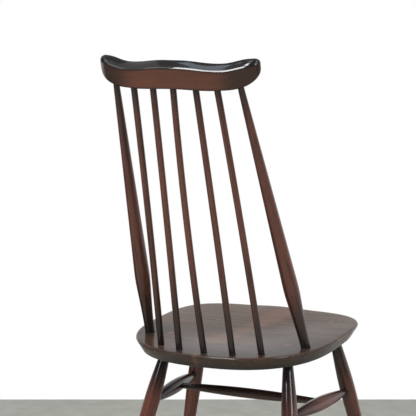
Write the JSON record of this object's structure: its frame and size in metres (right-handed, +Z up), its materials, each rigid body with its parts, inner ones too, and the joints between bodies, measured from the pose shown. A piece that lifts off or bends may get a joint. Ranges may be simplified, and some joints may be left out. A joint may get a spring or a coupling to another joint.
{
  "type": "stick-back dining chair",
  "caption": "High-backed wooden dining chair: saddled seat, splayed turned legs tied by stretchers, slim sticks between swelling posts, waved and bent top rail.",
  "frame": {"origin": "middle of the chair's footprint box on the floor", "axes": "+Z up; the sitter looks along -Y, so +Y is the back and +X is the sitter's left"},
  "size_m": [0.4868, 0.511, 0.9792],
  "materials": {
    "frame_wood": "dark stain under gloss lacquer",
    "rail_wood": "dark stain under gloss lacquer",
    "seat_wood": "dark stain under gloss lacquer, fine grain",
    "wedge_wood": "end grain, stained, satin"
  },
  "bodies": {
    "root": {"seat": "seat_wood", "top_rail": "rail_wood", "front_left_leg": "frame_wood", "front_right_leg": "frame_wood", "rear_left_leg": "frame_wood", "rear_right_leg": "frame_wood", "left_side_stretcher": "frame_wood", "right_side_stretcher": "frame_wood", "cross_stretcher": "frame_wood", "left_back_post": "frame_wood", "right_back_post": "frame_wood", "back_stick_1": "frame_wood", "back_stick_2": "frame_wood", "back_stick_3": "frame_wood", "back_stick_4": "frame_wood", "back_stick_5": "frame_wood", "front_left_leg_wedge": "wedge_wood", "front_right_leg_wedge": "wedge_wood", "rear_left_leg_wedge": "wedge_wood", "rear_right_leg_wedge": "wedge_wood", "left_back_post_wedge": "wedge_wood", "right_back_post_wedge": "wedge_wood"}
  },
  "joints": []
}
